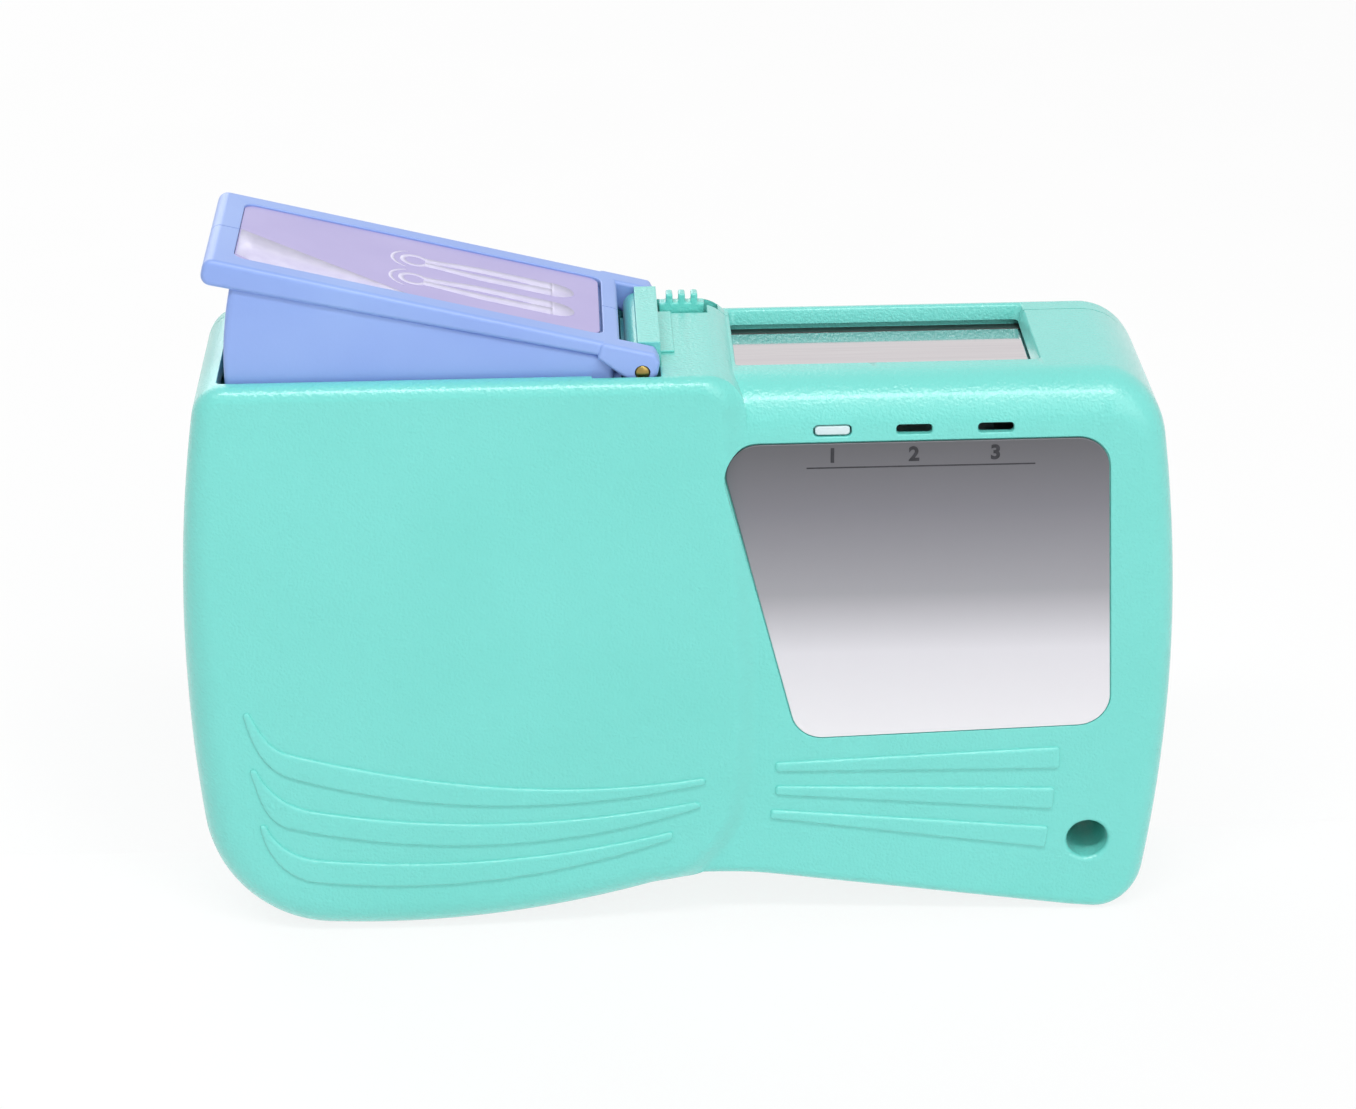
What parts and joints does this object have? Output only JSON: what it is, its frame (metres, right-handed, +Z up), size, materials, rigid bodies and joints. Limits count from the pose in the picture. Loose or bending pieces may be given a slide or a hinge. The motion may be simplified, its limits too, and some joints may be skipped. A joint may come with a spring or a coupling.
{
  "type": "fibre optic cleaning cassette",
  "caption": "Hand-held reel cleaner for optical connectors: a lever slides a metal shutter off a wiping plate and winds cleaning tape between two reels.",
  "frame": {"origin": "middle of the casing's footprint, at the level of its lowest points", "axes": "+X towards the window end, +Y from the front face to the back cover, +Z up"},
  "size_m": [0.13, 0.032, 0.0963],
  "materials": {
    "shell_plastic": "fine moulded texture",
    "lever_plastic": "satin moulded",
    "label_film": "printed film",
    "plate_metal": "brushed, printed gradient",
    "indicator_plastic": "satin moulded",
    "pin_brass": "turned",
    "spring_steel": "drawn wire and leaf",
    "stainless": "polished",
    "guide_plastic": "moulded",
    "chassis_steel": "stamped",
    "screw_steel": "plated",
    "mechanism_plastic": "moulded acetal",
    "case_plastic": "moulded",
    "tape_cloth": "fine woven tape",
    "pad_rubber": "soft"
  },
  "bodies": {
    "root": {"front_shell": "shell_plastic", "name_plate": "plate_metal", "type_indicator": "indicator_plastic", "hinge_block": "shell_plastic", "hinge_pin": "pin_brass", "return_spring": "spring_steel", "shutter_guide": "guide_plastic", "wiping_plate": "stainless", "chassis_plate": "chassis_steel", "chassis_screws": "screw_steel", "takeup_brake": "spring_steel", "supply_brake": "spring_steel", "cartridge_case": "case_plastic", "cartridge_lid": "case_plastic", "guide_pins": "screw_steel", "tape_run": "tape_cloth", "backing_pad": "pad_rubber", "pad_carrier": "case_plastic"},
    "lever": {"lever_front_half": "lever_plastic", "lever_rear_half": "lever_plastic", "lever_label": "label_film"},
    "crank": {"drive_crank": "mechanism_plastic", "crank_pin": "screw_steel", "pawl_pivot": "screw_steel", "shutter_pin": "screw_steel"},
    "pawl": {"drive_pawl": "mechanism_plastic"},
    "takeup": {"ratchet_wheel": "mechanism_plastic", "takeup_reel": "mechanism_plastic", "takeup_roll": "tape_cloth", "reel_circlip": "spring_steel"},
    "supply": {"supply_reel": "mechanism_plastic", "supply_roll": "tape_cloth"},
    "shutter": {"shutter": "stainless"},
    "rear_cover": {"rear_cover": "shell_plastic"},
    "latch": {"latch_slider": "shell_plastic"}
  },
  "joints": [
    {"name": "lever_hinge", "type": "hinge", "parent": "root", "child": "lever", "pos_m": [-0.0046, 0, 0.0802], "axis": [0, -1, 0], "range_deg": [0, 13.2], "stiffness_Nm_per_rad": 0.5, "springref_deg": -11.46},
    {"name": "crank_turn", "type": "hinge", "parent": "root", "child": "crank", "pos_m": [-0.02398, -0.0104, 0.03452], "axis": [0, -1, 0], "range_deg": [0, 64]},
    {"name": "pawl_lift", "type": "hinge", "parent": "crank", "child": "pawl", "pos_m": [-0.03836, -0.0088, 0.04033], "axis": [0, 1, 0], "range_deg": [0, 12], "stiffness_Nm_per_rad": 0.01, "springref_deg": -5.73},
    {"name": "takeup_turn", "type": "hinge", "parent": "root", "child": "takeup", "pos_m": [-0.02398, 0, 0.03452], "axis": [0, -1, 0], "range_deg": [0, 64]},
    {"name": "supply_turn", "type": "hinge", "parent": "root", "child": "supply", "pos_m": [0.02899, 0, 0.03402], "axis": [0, -1, 0], "range_deg": [0, 49.31]},
    {"name": "shutter_slide", "type": "slide", "parent": "root", "child": "shutter", "axis": [-1, 0, 0], "range_m": [0, 0.03814]},
    {"name": "cover_hinge", "type": "hinge", "parent": "root", "child": "rear_cover", "pos_m": [0, 0.0115, 0], "axis": [-1, 0, 0], "range_deg": [0, 75]},
    {"name": "latch_slide", "type": "slide", "parent": "rear_cover", "child": "latch", "axis": [1, 0, 0], "range_m": [0, 0.0015]}
  ],
  "couplings": [
    {"joint": "crank_turn", "follows": "lever_hinge", "ratio": 4.8485},
    {"joint": "takeup_turn", "follows": "lever_hinge", "ratio": 4.8485},
    {"joint": "supply_turn", "follows": "lever_hinge", "ratio": 3.7346},
    {"joint": "shutter_slide", "follows": "lever_hinge", "m_per_rad": 0.16552}
  ]
}
